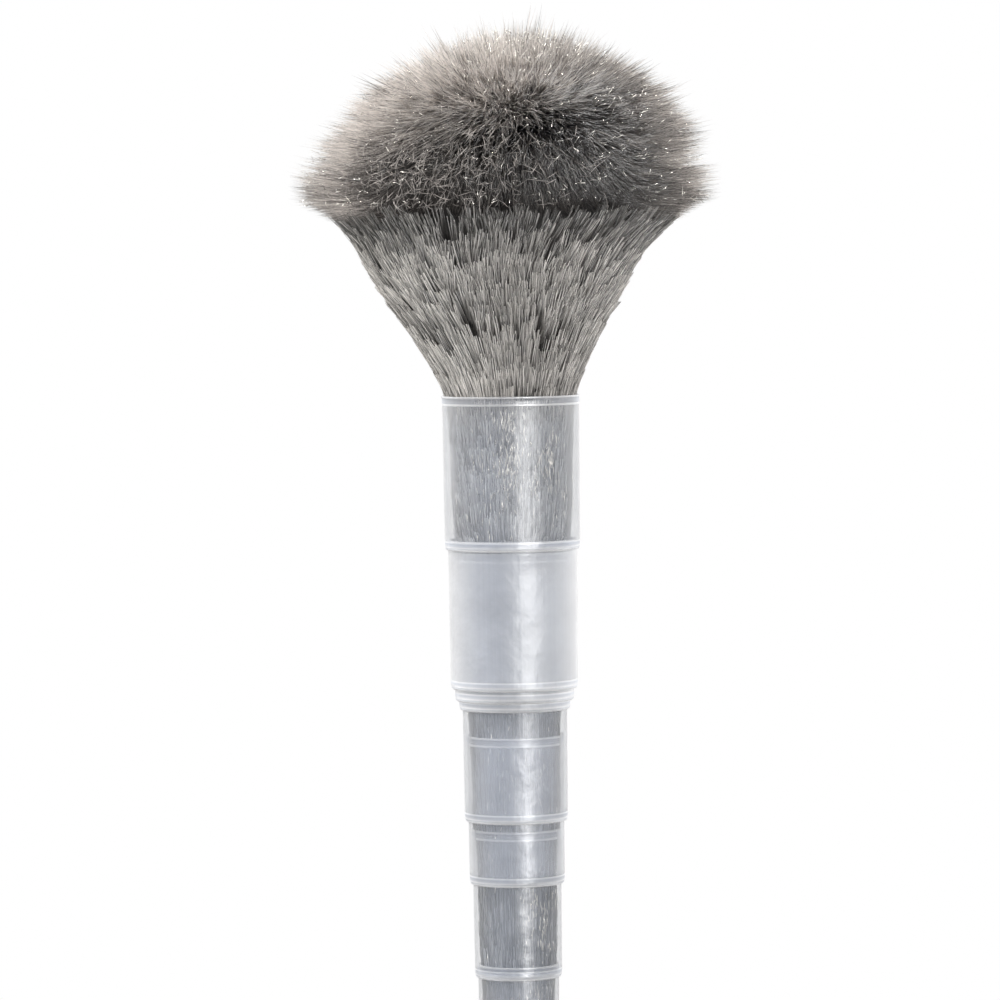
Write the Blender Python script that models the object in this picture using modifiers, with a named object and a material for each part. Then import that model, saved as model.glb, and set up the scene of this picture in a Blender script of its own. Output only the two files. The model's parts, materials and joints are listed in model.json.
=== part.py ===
# Electrostatic duster: a long head of split fibre on a twisted wire core, rising out of a stack of
# telescoping sleeves that slide up over it. It stands on the flat end of its handle, at the origin,
# with +Z up the core. Lengths are in metres.

import math

import bmesh
import bpy
from mathutils import Vector

mm = 0.001

# Fits between neighbouring pieces
seat_gap = 0.3 * mm
slide_gap = 0.15 * mm
stop_gap = 0.2 * mm
overrun = 4.0 * mm

# Sleeves, the first being the widest, at the top
sleeve_count = 8
sleeve_sides = 28
mouth_radius = 24.0 * mm
sleeve_wall = 0.6 * mm
sleeve_draft = 0.3 * mm
sleeve_clearance = 0.2 * mm
sleeve_length = 52.2 * mm
mouth_sleeve_length = 53.9 * mm
rim_height = 2.4 * mm
rim_bead = 0.3 * mm
lip_height = 0.9 * mm
lip_face = 0.3 * mm
shoulder_height = 3.1 * mm
shoulder_turn = 0.12 * mm
base_sleeve_height = 130.0 * mm

# How far each sleeve is drawn out of the next narrower one, as shares of its travel, in the photographed pose
drawn_shares = (1.0, 0.0862, 0.0657, 0.8049, 0.4538, 0.6756, 0.9774)

# Stop collar, which carries the base sleeve and stops the others when they are pushed down
flange_thickness = 3.0 * mm
flange_margin = 0.6 * mm
flange_bevel = 0.8 * mm
collar_flare_height = 8.6 * mm
collar_flare_radius = 17.0 * mm
spigot_height = 5.0 * mm
spigot_bead = 0.1 * mm
spigot_lead = 1.0 * mm
collar_tail_length = 19.0 * mm

# Handle
handle_sides = 24
grip_top_radius = 12.6 * mm
grip_waist_radius = 10.2 * mm
grip_swell_radius = 11.6 * mm
grip_foot_radius = 10.4 * mm
grip_wall = 2.6 * mm
grip_neck_wall = 1.4 * mm
grip_waist_share = 0.78
grip_swell_share = 0.42
cap_length = 24.0 * mm
cap_shoulder_height = 19.0 * mm
cap_butt_radius = 8.0 * mm
cap_corner = 1.8 * mm
cap_plug_length = 12.0 * mm
hang_hole_radius = 4.0 * mm
hang_hole_height = 12.0 * mm
hang_hole_sides = 20

# Socket and pin that hold the core in the handle
socket_radius = 6.0 * mm
socket_tail = 10.0 * mm
socket_rise = 2.0 * mm
pin_radius = 1.5 * mm
pin_sides = 12
pin_recess = 0.5 * mm
pin_depth = 12.0 * mm
core_floor = 4.0 * mm

# Twisted wire core
wire_radius = 1.2 * mm
wire_pitch = 36.0 * mm
wire_points_per_turn = 6
wire_end_gap = 0.5 * mm

# Cap over the wires' ends
tip_cap_radius = 3.9 * mm
tip_cap_cover = 7.0 * mm
tip_cap_dome = 3.0 * mm
tip_cap_sides = 16

# Fibres
root_wall = 1.5 * mm
row_turn_share = 0.45
tier_gap = 0.6 * mm
fibre_tilt = math.radians(19.5)
fibre_margin = 0.5 * mm
tuft_width = 3.2 * mm
packed_tuft_width = 2.2 * mm
packed_sides = 14
head_sides = 18
head_radius = 71.0 * mm
head_rise = 127.2 * mm

# Where the fibre tiers lie on the core. The packed ones are spread from the base sleeve up to the head, whose
# roots run from below the mouth up to the cap over the wires' ends.
packed_tiers = 4
packed_rows = 2
packed_lift = 1.0 * mm
packed_space = 9.6 * mm
packed_head_gap = 1.6 * mm
head_depth = 59.8 * mm
crown_depth = 20.8 * mm

# Strand tips of the head, row by row from the lowest: how far out, as shares of the way from the mouth's edge
# to the head's rim (less than 0 is inside that edge), and how far up, as shares of the head's rise
tip_out_shares = (0.2, 0.35, 0.486, 0.6, 0.804, 0.924, 1.0, 1.0, 0.97, 0.909, 0.819, 0.698, 0.547, 0.366,
                  0.154, -0.073, -0.314)
tip_up_shares = (0.17, 0.27, 0.35, 0.41, 0.485, 0.525, 0.57, 0.63, 0.695, 0.76, 0.82, 0.872, 0.915, 0.95,
                 0.975, 0.99, 1.0)
# The bend of the same strands: how far out, as shares of the mouth's radius, and how far up, as before
bend_out_shares = (0.74, 0.74, 0.754, 0.784, 0.976, 1.154, 1.302, 1.361, 1.346, 1.316, 1.257, 1.169, 1.065,
                   0.932, 0.784, 0.621, 0.444)
bend_up_shares = (0.04, 0.13, 0.22, 0.30, 0.47, 0.55, 0.62, 0.675, 0.72, 0.76, 0.80, 0.835, 0.865, 0.89,
                  0.912, 0.932, 0.95)
head_tiers = (("flare_fibres_lower", 2), ("flare_fibres_upper", 2), ("puff_skirt", 4), ("puff_middle", 5),
              ("puff_crown", 4))
# Where along its length a strand's sections lie, and how thick each is
head_section_shares = (0.30, 0.58, 0.82)
head_width_shares = (0.55, 1.0, 0.86)
packed_section_shares = (0.58,)
packed_width_shares = (1.0,)

# Colours: red, green, blue
clear_white = (0.80, 0.83, 0.88)
fibre_grey = (0.27, 0.26, 0.25)
handle_grey = (0.62, 0.64, 0.68)
steel_grey = (0.55, 0.56, 0.58)


def clear_scene():
    for thing in list(bpy.data.objects):
        bpy.data.objects.remove(thing, do_unlink=True)


def new_collection(name):
    made = bpy.data.collections.new(name)
    bpy.context.scene.collection.children.link(made)
    return made


def new_material(name, colour, roughness, metallic=0.0):
    made = bpy.data.materials.new(name)
    made.use_nodes = True
    shader = made.node_tree.nodes["Principled BSDF"]
    shader.inputs["Base Color"].default_value = (*colour, 1.0)
    shader.inputs["Roughness"].default_value = roughness
    shader.inputs["Metallic"].default_value = metallic
    made.diffuse_color = (*colour, 1.0)
    return made


def place(name, mesh, material, height=0.0):
    made = bpy.data.objects.new(name, mesh)
    made.location.z = height
    made.data.materials.append(material)
    duster.objects.link(made)
    made.parent = stand
    return made


# A profile is a list of (radius, height) down the outer side and up the inner one. It stays open where
# it starts and ends on the axis.
def turned(name, profile, material, height, sides):
    open_ended = profile[0][0] == 0 and profile[-1][0] == 0
    mesh = bpy.data.meshes.new(name)
    count = len(profile)
    edges = [(index, (index + 1) % count) for index in range(count - open_ended)]
    mesh.from_pydata([(radius, 0, up) for radius, up in profile], edges, [])
    made = place(name, mesh, material, height)
    screw = made.modifiers.new("turn", "SCREW")
    screw.axis = "Z"
    screw.angle = math.tau
    screw.steps = sides
    screw.render_steps = sides
    screw.use_merge_vertices = open_ended
    screw.merge_threshold = 0.01 * mm
    screw.use_smooth_shade = True
    return made


def cross_cutter(name, radius, sides, height, length, along_x):
    mesh = bpy.data.meshes.new(name)
    shape = bmesh.new()
    bmesh.ops.create_cone(shape, cap_ends=True, segments=sides, radius1=radius, radius2=radius, depth=length)
    shape.to_mesh(mesh)
    shape.free()
    made = bpy.data.objects.new(name, mesh)
    made.location.z = height
    made.rotation_euler = (0, math.pi / 2, 0) if along_x else (math.pi / 2, 0, 0)
    made.hide_render = True
    made.display_type = "WIRE"
    cutters.objects.link(made)
    return made


def cut(target, cutter):
    boolean = target.modifiers.new(cutter.name, "BOOLEAN")
    boolean.operation = "DIFFERENCE"
    boolean.solver = "EXACT"
    boolean.object = cutter


# Sleeve sizes and places, from the mouth sleeve (number 1) down to the base sleeve. Each is narrower than
# the one above by a wall and its draft, the narrower one's rim bead and the clearance between them.
sleeve_step = sleeve_wall + sleeve_draft + rim_bead + sleeve_clearance


def sleeve_radius(number):
    return mouth_radius - sleeve_step * (number - 1)


def length_of_sleeve(number):
    return mouth_sleeve_length if number == 1 else sleeve_length


def travel(number):
    return length_of_sleeve(number) - rim_height - stop_gap - lip_height


def sleeve_top(number):
    drawn = sum(travel(lower) * drawn_shares[lower - 1] for lower in range(number, sleeve_count))
    return base_sleeve_height + sleeve_length + drawn


def sleeve_bottom(number):
    return sleeve_top(number) - length_of_sleeve(number)


def inner_radius(number):
    return sleeve_radius(number) - sleeve_wall - sleeve_draft


def lip_radius(number):
    return sleeve_radius(number) - sleeve_step + slide_gap


def highest_top(number):
    return base_sleeve_height + sleeve_length + sum(travel(lower) for lower in range(number, sleeve_count))


def make_sleeve(number, material):
    radius = sleeve_radius(number)
    length = length_of_sleeve(number)
    foot = radius - sleeve_draft
    profile = [
        (radius + rim_bead, length),
        (radius + rim_bead, length - rim_height),
        (radius, length - rim_height),
        (foot, shoulder_height),
        (foot - shoulder_turn, lip_height + stop_gap),
        (lip_radius(number) + lip_face, 0),
        (lip_radius(number), 0),
        (lip_radius(number), lip_height),
        (inner_radius(number), lip_height),
        (radius - sleeve_wall, length),
    ]
    return turned(f"sleeve_{number}", profile, material, sleeve_bottom(number), sleeve_sides)


# Handle, collar and what holds the core
flange_top = base_sleeve_height - seat_gap
collar_foot = flange_top - flange_thickness - collar_flare_height
grip_top = collar_foot - seat_gap
grip_foot = cap_length + seat_gap
grip_bore_top = grip_waist_radius - grip_neck_wall
grip_bore_foot = grip_foot_radius - grip_wall
socket_bore_radius = socket_radius + seat_gap
collar_tail_foot = collar_foot - collar_tail_length
socket_foot = collar_tail_foot - socket_tail
spigot_top = base_sleeve_height + spigot_height
socket_top = spigot_top + socket_rise
pin_height = collar_foot - pin_depth
core_bottom = pin_height + pin_radius + seat_gap + core_floor
wire_offset = wire_radius + seat_gap
core_reach = wire_offset + wire_radius
core_bore = core_reach + seat_gap
mouth_height = sleeve_top(1)
head_start = mouth_height - head_depth
cap_foot = mouth_height + head_rise - crown_depth
core_top = cap_foot + tip_cap_cover
head_rows = sum(rows for name, rows in head_tiers)
head_row_height = (cap_foot - head_start - len(head_tiers) * tier_gap) / head_rows
packed_foot = socket_top + packed_lift
packed_length = head_start - packed_head_gap - packed_foot - (packed_tiers - 1) * packed_space
packed_row_height = packed_length / (packed_tiers * packed_rows * 2)


def make_collar(material):
    flange_radius = mouth_radius + flange_margin
    spigot_radius = lip_radius(sleeve_count) - seat_gap
    bead_radius = lip_radius(sleeve_count) + spigot_bead
    bead_foot = base_sleeve_height + lip_height + seat_gap
    profile = [
        (bead_radius - spigot_lead, spigot_top),
        (bead_radius, spigot_top - spigot_lead),
        (bead_radius, bead_foot),
        (spigot_radius, bead_foot),
        (spigot_radius, flange_top),
        (flange_radius - flange_bevel, flange_top),
        (flange_radius, flange_top - flange_bevel),
        (flange_radius, flange_top - flange_thickness + flange_bevel),
        (flange_radius - flange_bevel, flange_top - flange_thickness),
        (collar_flare_radius, flange_top - flange_thickness),
        (grip_top_radius, collar_foot),
        (grip_bore_top - seat_gap, collar_foot),
        (grip_bore_top - seat_gap, collar_tail_foot),
        (socket_bore_radius, collar_tail_foot),
        (socket_bore_radius, spigot_top),
    ]
    return turned("stop_collar", profile, material, 0, handle_sides)


def make_grip(material):
    length = grip_top - grip_foot
    waist = grip_foot + length * grip_waist_share
    swell = grip_foot + length * grip_swell_share
    profile = [
        (grip_top_radius, grip_top),
        (grip_waist_radius + (grip_top_radius - grip_waist_radius) / 3, (grip_top + waist) / 2),
        (grip_waist_radius, waist),
        (grip_swell_radius, swell),
        (grip_foot_radius, grip_foot),
        (grip_bore_foot, grip_foot),
        (grip_bore_foot, waist - cap_plug_length),
        (grip_bore_top, collar_tail_foot - seat_gap),
        (grip_bore_top, grip_top),
    ]
    return turned("handle_grip", profile, material, 0, handle_sides)


def make_end_cap(material):
    profile = [
        (0, cap_length + cap_plug_length),
        (grip_bore_foot - seat_gap, cap_length + cap_plug_length),
        (grip_bore_foot - seat_gap, cap_length),
        (grip_foot_radius, cap_length),
        (grip_foot_radius, cap_shoulder_height),
        (cap_butt_radius + cap_corner, cap_corner),
        (cap_butt_radius, 0),
        (0, 0),
    ]
    cap = turned("handle_end_cap", profile, material, 0, handle_sides)
    length = 2 * (grip_foot_radius + overrun)
    cut(cap, cross_cutter("hang_hole", hang_hole_radius, hang_hole_sides, hang_hole_height, length, False))
    return cap


def make_socket(material):
    profile = [
        (0, core_bottom - wire_end_gap),
        (core_reach + wire_end_gap, core_bottom - wire_end_gap),
        (core_reach + wire_end_gap, socket_top),
        (socket_radius, socket_top),
        (socket_radius, socket_foot),
        (0, socket_foot),
    ]
    return turned("core_socket", profile, material, 0, handle_sides)


def make_pin(material):
    length = 2 * (grip_waist_radius - pin_recess)
    mesh = bpy.data.meshes.new("cross_pin")
    shape = bmesh.new()
    bmesh.ops.create_cone(
        shape, cap_ends=True, segments=pin_sides, radius1=pin_radius, radius2=pin_radius, depth=length
    )
    shape.to_mesh(mesh)
    shape.free()
    pin = place("cross_pin", mesh, material, pin_height)
    pin.rotation_euler.y = math.pi / 2
    return pin


def drill_for_pin(pieces):
    length = 2 * (grip_top_radius + overrun)
    cutter = cross_cutter("pin_hole", pin_radius + seat_gap, pin_sides, pin_height, length, True)
    for piece in pieces:
        cut(piece, cutter)


def make_wire(name, start_angle, material):
    turns = (core_top - core_bottom) / wire_pitch
    steps = round(turns * wire_points_per_turn)
    curve = bpy.data.curves.new(name, "CURVE")
    curve.dimensions = "3D"
    curve.bevel_depth = wire_radius
    curve.bevel_resolution = 1
    curve.use_fill_caps = True
    spline = curve.splines.new("POLY")
    spline.points.add(steps)
    for index, point in enumerate(spline.points):
        share = index / steps
        angle = start_angle + math.tau * turns * share
        height = core_bottom + (core_top - core_bottom) * share
        point.co = (wire_offset * math.cos(angle), wire_offset * math.sin(angle), height, 1)
    return place(name, curve, material)


def make_tip_cap(material):
    roof = core_top + wire_end_gap
    profile = [
        (0, roof + tip_cap_dome),
        (tip_cap_radius * math.sin(math.pi / 4), roof + tip_cap_dome * math.cos(math.pi / 4)),
        (tip_cap_radius, roof),
        (tip_cap_radius, cap_foot),
        (core_reach + wire_end_gap, cap_foot),
        (core_reach + wire_end_gap, roof),
        (0, roof),
    ]
    return turned("core_tip_cap", profile, material, 0, tip_cap_sides)


# Fibre tiers: a band of packed roots round the core, with strands drawn out of it. Each row is turned by
# part of a side from the one below, so each strand starts from an upright triangle and few lie in line.
def root_band(sides, start, rows, row_height, first_row):
    shape = bmesh.new()
    shape.verts.layers.int.new("corner")
    shape.faces.layers.int.new("row")
    shape.faces.layers.float.new("angle")
    bmesh.ops.create_grid(shape, x_segments=sides, y_segments=rows, size=0.5)
    radius = core_bore + root_wall
    for vertex in shape.verts:
        row = round((vertex.co.y + 0.5) * rows)
        angle = math.tau * ((vertex.co.x + 0.5) + row_turn_share * (first_row + row) / sides)
        vertex.co = (radius * math.cos(angle), radius * math.sin(angle), start + row * row_height)
    bmesh.ops.remove_doubles(shape, verts=shape.verts[:], dist=0.01 * mm)
    bmesh.ops.triangulate(shape, faces=shape.faces[:], quad_method="SHORT_EDGE")
    bmesh.ops.recalc_face_normals(shape, faces=shape.faces[:])
    outer = shape.faces[:]
    ends = [edge for edge in shape.edges if edge.is_boundary]
    grown = bmesh.ops.extrude_edge_only(shape, edges=ends)
    for vertex in (item for item in grown["geom"] if isinstance(item, bmesh.types.BMVert)):
        vertex.co.x *= core_bore / radius
        vertex.co.y *= core_bore / radius
    bore = [edge for edge in shape.edges if edge.is_boundary]
    bmesh.ops.bridge_loops(shape, edges=bore)
    return shape, outer


def bent_point(path, share):
    root, bend, tip = path
    return root * (1 - share) ** 2 + bend * 2 * share * (1 - share) + tip * share ** 2


def set_section(face, corner, path, share, width, angle):
    middle = bent_point(path, share)
    ahead = bent_point(path, share + 0.01) - middle
    ahead.normalize()
    across = Vector((-math.sin(angle), math.cos(angle), 0))
    outward = Vector((math.cos(angle), math.sin(angle), 0))
    for vertex in face.verts:
        side = (-0.5, 0.5, 0)[vertex[corner]]
        depth = (-1 / 3, -1 / 3, 2 / 3)[vertex[corner]]
        radial = middle.x - ahead.y * width * depth
        height = middle.y + ahead.x * width * depth
        vertex.co = outward * radial + across * side * width + Vector((0, 0, height))


# Paths give, for each row from the lowest, the root, bend and tip of its strands as (radius, height)
def fibre_tier(name, material, sides, start, row_height, first_row, paths, bare, sections, widths, width):
    rows = len(paths) * (1 + bare)
    shape, outer = root_band(sides, start, rows, row_height, first_row)
    corner = shape.verts.layers.int["corner"]
    strand_row = shape.faces.layers.int["row"]
    side_angle = shape.faces.layers.float["angle"]
    bases = []
    for face in outer:
        heights = sorted(vertex.co.z for vertex in face.verts)
        row = round((heights[0] - start) / row_height)
        if heights[1] - heights[0] > row_height / 2 or row % (1 + bare):
            continue
        centre = face.calc_center_median()
        face[strand_row] = row // (1 + bare)
        face[side_angle] = math.atan2(centre.y, centre.x)
        bases.append(face)
    faces = bmesh.ops.extrude_discrete_faces(shape, faces=bases)["faces"]
    for face in faces:
        mark_corners(face, corner, face[side_angle])
    for share, thickness in zip(sections, widths):
        for face in faces:
            set_section(face, corner, paths[face[strand_row]], share, width * thickness, face[side_angle])
        faces = bmesh.ops.extrude_discrete_faces(shape, faces=faces)["faces"]
    tips = []
    for face in faces:
        tip = bent_point(paths[face[strand_row]], 1)
        outward = Vector((math.cos(face[side_angle]), math.sin(face[side_angle]), 0))
        tips.append((face.verts[:], outward * tip.x + Vector((0, 0, tip.y))))
    for corners, point in tips:
        bmesh.ops.pointmerge(shape, verts=corners, merge_co=point)
    mesh = bpy.data.meshes.new(name)
    shape.to_mesh(mesh)
    shape.free()
    return place(name, mesh, material)


# Corner 2 is the upper one; 0 and 1 are the lower ones, to the right and left of it seen from outside
def mark_corners(face, corner, angle):
    across = Vector((-math.sin(angle), math.cos(angle), 0))
    top = max(face.verts, key=lambda vertex: vertex.co.z)
    for vertex in face.verts:
        vertex[corner] = 2 if vertex == top else int(vertex.co.dot(across) > 0)


# The room for packed fibres is the bore of the narrowest sleeve that can be drawn up to their height
def packed_room(height):
    reaching = [number for number in range(1, sleeve_count + 1) if highest_top(number) > height]
    return inner_radius(max(reaching)) - fibre_margin


def packed_path(foot):
    band = core_bore + root_wall
    reach = packed_room(foot) - packed_tuft_width / 2 - band
    root = Vector((band, foot + packed_row_height / 3))
    tip = root + Vector((reach, reach / math.tan(fibre_tilt)))
    return root, (root + tip) / 2, tip


def make_packed_fibres(material):
    for index in range(packed_tiers):
        start = packed_foot + index * (packed_rows * 2 * packed_row_height + packed_space)
        paths = [packed_path(start + 2 * row * packed_row_height) for row in range(packed_rows)]
        fibre_tier(
            f"packed_fibres_{index + 1}", material, packed_sides, start, packed_row_height, 0, paths, 1,
            packed_section_shares, packed_width_shares, packed_tuft_width,
        )


def head_path(row, root_height):
    tip_out = mouth_radius + (head_radius - mouth_radius) * tip_out_shares[row]
    root = Vector((core_bore + root_wall, root_height + head_row_height / 3))
    bend = Vector((mouth_radius * bend_out_shares[row], mouth_height + head_rise * bend_up_shares[row]))
    tip = Vector((tip_out, mouth_height + head_rise * tip_up_shares[row]))
    return root, bend, tip


def make_head(material):
    start = head_start
    first = 0
    for name, rows in head_tiers:
        paths = [head_path(first + row, start + row * head_row_height) for row in range(rows)]
        fibre_tier(
            name, material, head_sides, start, head_row_height, first, paths, 0,
            head_section_shares, head_width_shares, tuft_width,
        )
        start += rows * head_row_height + tier_gap
        first += rows


def build():
    sleeve_clear = new_material("sleeve_plastic", clear_white, 0.25)
    handle_plastic = new_material("handle_plastic", handle_grey, 0.45)
    socket_plastic = new_material("socket_plastic", handle_grey, 0.5)
    wire_steel = new_material("wire_steel", steel_grey, 0.35, 1.0)
    head_fibre = new_material("head_fibre", fibre_grey, 0.6)

    for number in range(1, sleeve_count + 1):
        make_sleeve(number, sleeve_clear)
    collar = make_collar(handle_plastic)
    grip = make_grip(handle_plastic)
    make_end_cap(handle_plastic)
    socket = make_socket(socket_plastic)
    make_pin(wire_steel)
    drill_for_pin((grip, collar, socket))
    make_wire("core_wire_a", 0, wire_steel)
    make_wire("core_wire_b", math.pi, wire_steel)
    make_tip_cap(socket_plastic)
    make_packed_fibres(head_fibre)
    make_head(head_fibre)


clear_scene()
duster = new_collection("electrostatic_duster")
cutters = new_collection("cutters")
stand = bpy.data.objects.new("butt_centre", None)
duster.objects.link(stand)
build()
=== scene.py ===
import json
import math

import bpy
import numpy as np
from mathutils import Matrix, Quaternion, Vector

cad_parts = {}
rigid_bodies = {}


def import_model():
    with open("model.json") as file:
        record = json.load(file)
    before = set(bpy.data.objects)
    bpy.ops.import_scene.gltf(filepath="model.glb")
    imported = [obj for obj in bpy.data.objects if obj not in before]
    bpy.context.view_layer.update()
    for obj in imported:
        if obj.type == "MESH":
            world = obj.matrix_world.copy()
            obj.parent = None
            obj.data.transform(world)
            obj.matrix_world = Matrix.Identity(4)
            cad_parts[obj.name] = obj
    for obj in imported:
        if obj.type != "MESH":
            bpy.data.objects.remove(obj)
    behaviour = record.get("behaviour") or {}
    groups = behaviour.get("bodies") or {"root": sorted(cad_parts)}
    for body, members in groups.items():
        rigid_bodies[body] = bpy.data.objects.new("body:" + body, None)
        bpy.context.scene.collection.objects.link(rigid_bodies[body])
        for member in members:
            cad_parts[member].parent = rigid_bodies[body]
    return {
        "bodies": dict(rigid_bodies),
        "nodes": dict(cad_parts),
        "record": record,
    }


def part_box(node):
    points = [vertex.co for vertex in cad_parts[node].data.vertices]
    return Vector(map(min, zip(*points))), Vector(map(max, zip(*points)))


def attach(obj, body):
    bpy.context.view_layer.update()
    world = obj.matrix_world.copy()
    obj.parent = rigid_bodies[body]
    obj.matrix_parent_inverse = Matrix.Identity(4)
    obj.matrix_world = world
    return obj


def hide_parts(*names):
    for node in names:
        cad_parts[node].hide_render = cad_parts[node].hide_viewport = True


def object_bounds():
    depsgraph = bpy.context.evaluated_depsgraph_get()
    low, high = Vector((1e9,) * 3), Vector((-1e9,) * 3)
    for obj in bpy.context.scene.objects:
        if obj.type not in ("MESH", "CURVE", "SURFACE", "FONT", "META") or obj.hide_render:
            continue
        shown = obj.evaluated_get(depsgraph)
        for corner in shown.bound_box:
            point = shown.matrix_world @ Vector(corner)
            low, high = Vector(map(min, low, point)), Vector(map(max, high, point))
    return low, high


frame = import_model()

mm = 0.001
cadBox = [list(corner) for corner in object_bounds()]
nodeBody = {node: body for body, nodes in frame["record"]["behaviour"]["bodies"].items() for node in nodes}
headBody = nodeBody["puff_crown"]
sleeveNames = [f"sleeve_{number}" for number in range(1, 9)]  # the mouth sleeve first
sleeveBoxes = {name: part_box(name) for name in sleeveNames}
mouthTop = sleeveBoxes["sleeve_1"][1].z
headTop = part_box("puff_crown")[1].z
headRise = headTop - mouthTop
print("frame loaded, mouth at", round(mouthTop, 4))


# Scene: a pale floor that fades to the white of the background, soft lamps, and the camera
cameraView = {
    "distance": 1.92,
    "aimHeight": 0.3451,
    "aimAside": -0.0042,
    "downTilt": math.radians(2.68),
    "lean": math.radians(-0.82),
    "lens": 197.5,
}
roomLook = {
    "lampAim": 0.38,
    "skyLight": 0.45,
    "floorRadius": 1.1,
    "floorPlain": 0.45,  # out to here the floor shows its own shade
    "floorWhite": 0.97,  # the share of the radius where it has faded to white
    "floorTint": (0.86, 0.86, 0.86),
    "floorCloud": 0.985,  # the tint's darker patches
    "floorBounce": 0.35,  # the floor's shade to everything but the camera
    "floorGap": 0.2 * mm,  # under the duster
    "clearWalls": 40,  # the nested sleeves put many clear walls in a row
}
lamps = [  # azimuth is measured from the camera's side towards its right
    {"name": "stripLamp", "azimuth": 26, "height": 0.42, "away": 1.3, "size": (0.26, 1.5), "power": 58.0,
     "onlyShine": True},
    {"name": "topLamp", "azimuth": -60, "height": 1.55, "away": 0.7, "size": (0.9, 0.9), "power": 15.0},
    {"name": "leftLamp", "azimuth": -62, "height": 0.3, "away": 1.3, "size": (0.8, 1.2), "power": 11.0,
     "noShine": True},
    {"name": "rightLamp", "azimuth": 90, "height": 0.12, "away": 1.25, "size": (0.8, 1.0), "power": 18.0,
     "noShine": True},
    {"name": "backLamp", "azimuth": 170, "height": 0.9, "away": 1.3, "size": (1.2, 1.2), "power": 4.0},
]


def addCamera(view):
    data = bpy.data.cameras.new("photoCamera")
    data.sensor_width = 36
    data.lens = view["lens"]
    data.clip_start, data.clip_end = 0.05, 20
    camera = bpy.data.objects.new("photoCamera", data)
    bpy.context.scene.collection.objects.link(camera)
    aim = Vector((view["aimAside"], 0, view["aimHeight"]))
    back = Vector((0, -math.cos(view["downTilt"]), math.sin(view["downTilt"])))
    camera.location = aim + back * view["distance"]
    camera.rotation_mode = "QUATERNION"
    camera.rotation_quaternion = (-back).to_track_quat("-Z", "Y") @ Quaternion((0, 0, 1), view["lean"])
    bpy.context.scene.camera = camera


def addLamps(lamps, aimHeight):
    for lamp in lamps:
        data = bpy.data.lights.new(lamp["name"], "AREA")
        data.shape = "RECTANGLE"
        data.size, data.size_y = lamp["size"]
        data.energy = lamp["power"]
        shown = bpy.data.objects.new(lamp["name"], data)
        bpy.context.scene.collection.objects.link(shown)
        angle = math.radians(lamp["azimuth"])
        shown.location = (lamp["away"] * math.sin(angle), -lamp["away"] * math.cos(angle), lamp["height"])
        aim = Vector((0, 0, aimHeight)) - shown.location
        shown.rotation_euler = aim.to_track_quat("-Z", "Y").to_euler()
        shown.visible_diffuse = not lamp.get("onlyShine", False)
        shown.visible_glossy = not lamp.get("noShine", False)


def newNode(tree, kind, **settings):
    made = tree.nodes.new(kind)
    for name, value in settings.items():
        setattr(made, name, value)
    return made


# Links sockets to a node's inputs, and sets plain values. In an input's name, _ stands for a space
def feed(node, *values, **named):
    inputs = list(enumerate(values)) + [(name.replace("_", " "), value) for name, value in named.items()]
    for place, value in inputs:
        if isinstance(value, bpy.types.NodeSocket):
            node.id_data.links.new(value, node.inputs[place])
        else:
            node.inputs[place].default_value = value
    return node


# Each step is an operation and its second value. Only the last step is clamped
def mathNode(tree, value, *steps, clamp=False):
    for operation, second in steps:
        made = newNode(tree, "ShaderNodeMath", operation=operation)
        value = feed(made, value, second).outputs[0]
    made.use_clamp = clamp
    return value


def vectorNode(tree, operation, *values, **named):
    return feed(newNode(tree, "ShaderNodeVectorMath", operation=operation), *values, **named).outputs


def mixColours(tree, share, first, second):
    return feed(newNode(tree, "ShaderNodeMix", data_type="RGBA"), Factor=share, A=first, B=second).outputs["Result"]


def noiseNode(tree, place, **values):
    return feed(newNode(tree, "ShaderNodeTexNoise"), Vector=place, **values).outputs["Fac"]


def bumpNode(tree, height, strength, distance, **under):
    bump = feed(newNode(tree, "ShaderNodeBump"), Height=height, Strength=strength, Distance=distance, **under)
    return bump.outputs["Normal"]


def rangeNode(tree, value, **settings):
    return feed(newNode(tree, "ShaderNodeMapRange", **settings), value)


def objectPlace(tree):
    return newNode(tree, "ShaderNodeTexCoord").outputs["Object"]


def markOf(tree, name):
    return newNode(tree, "ShaderNodeAttribute", attribute_name=name).outputs["Fac"]


def shade(colour, by=1):
    return (*(value * by for value in colour), 1)


def newMaterial(name):
    material = bpy.data.materials.new(name)
    material.use_nodes = True
    return material, material.node_tree, material.node_tree.nodes["Principled BSDF"]


def addWorld(look):
    world = bpy.data.worlds.new("studio")
    bpy.context.scene.world = world
    world.use_nodes = True
    tree = world.node_tree
    paths = newNode(tree, "ShaderNodeLightPath").outputs
    seen = mathNode(tree, paths["Is Camera Ray"], ("MAXIMUM", paths["Is Glossy Ray"]),
                    ("MAXIMUM", paths["Is Transmission Ray"]))
    strength = feed(rangeNode(tree, seen), To_Min=look["skyLight"], To_Max=1.0)
    feed(tree.nodes["Background"], Strength=strength.outputs["Result"], Color=shade((1, 1, 1)))


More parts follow.
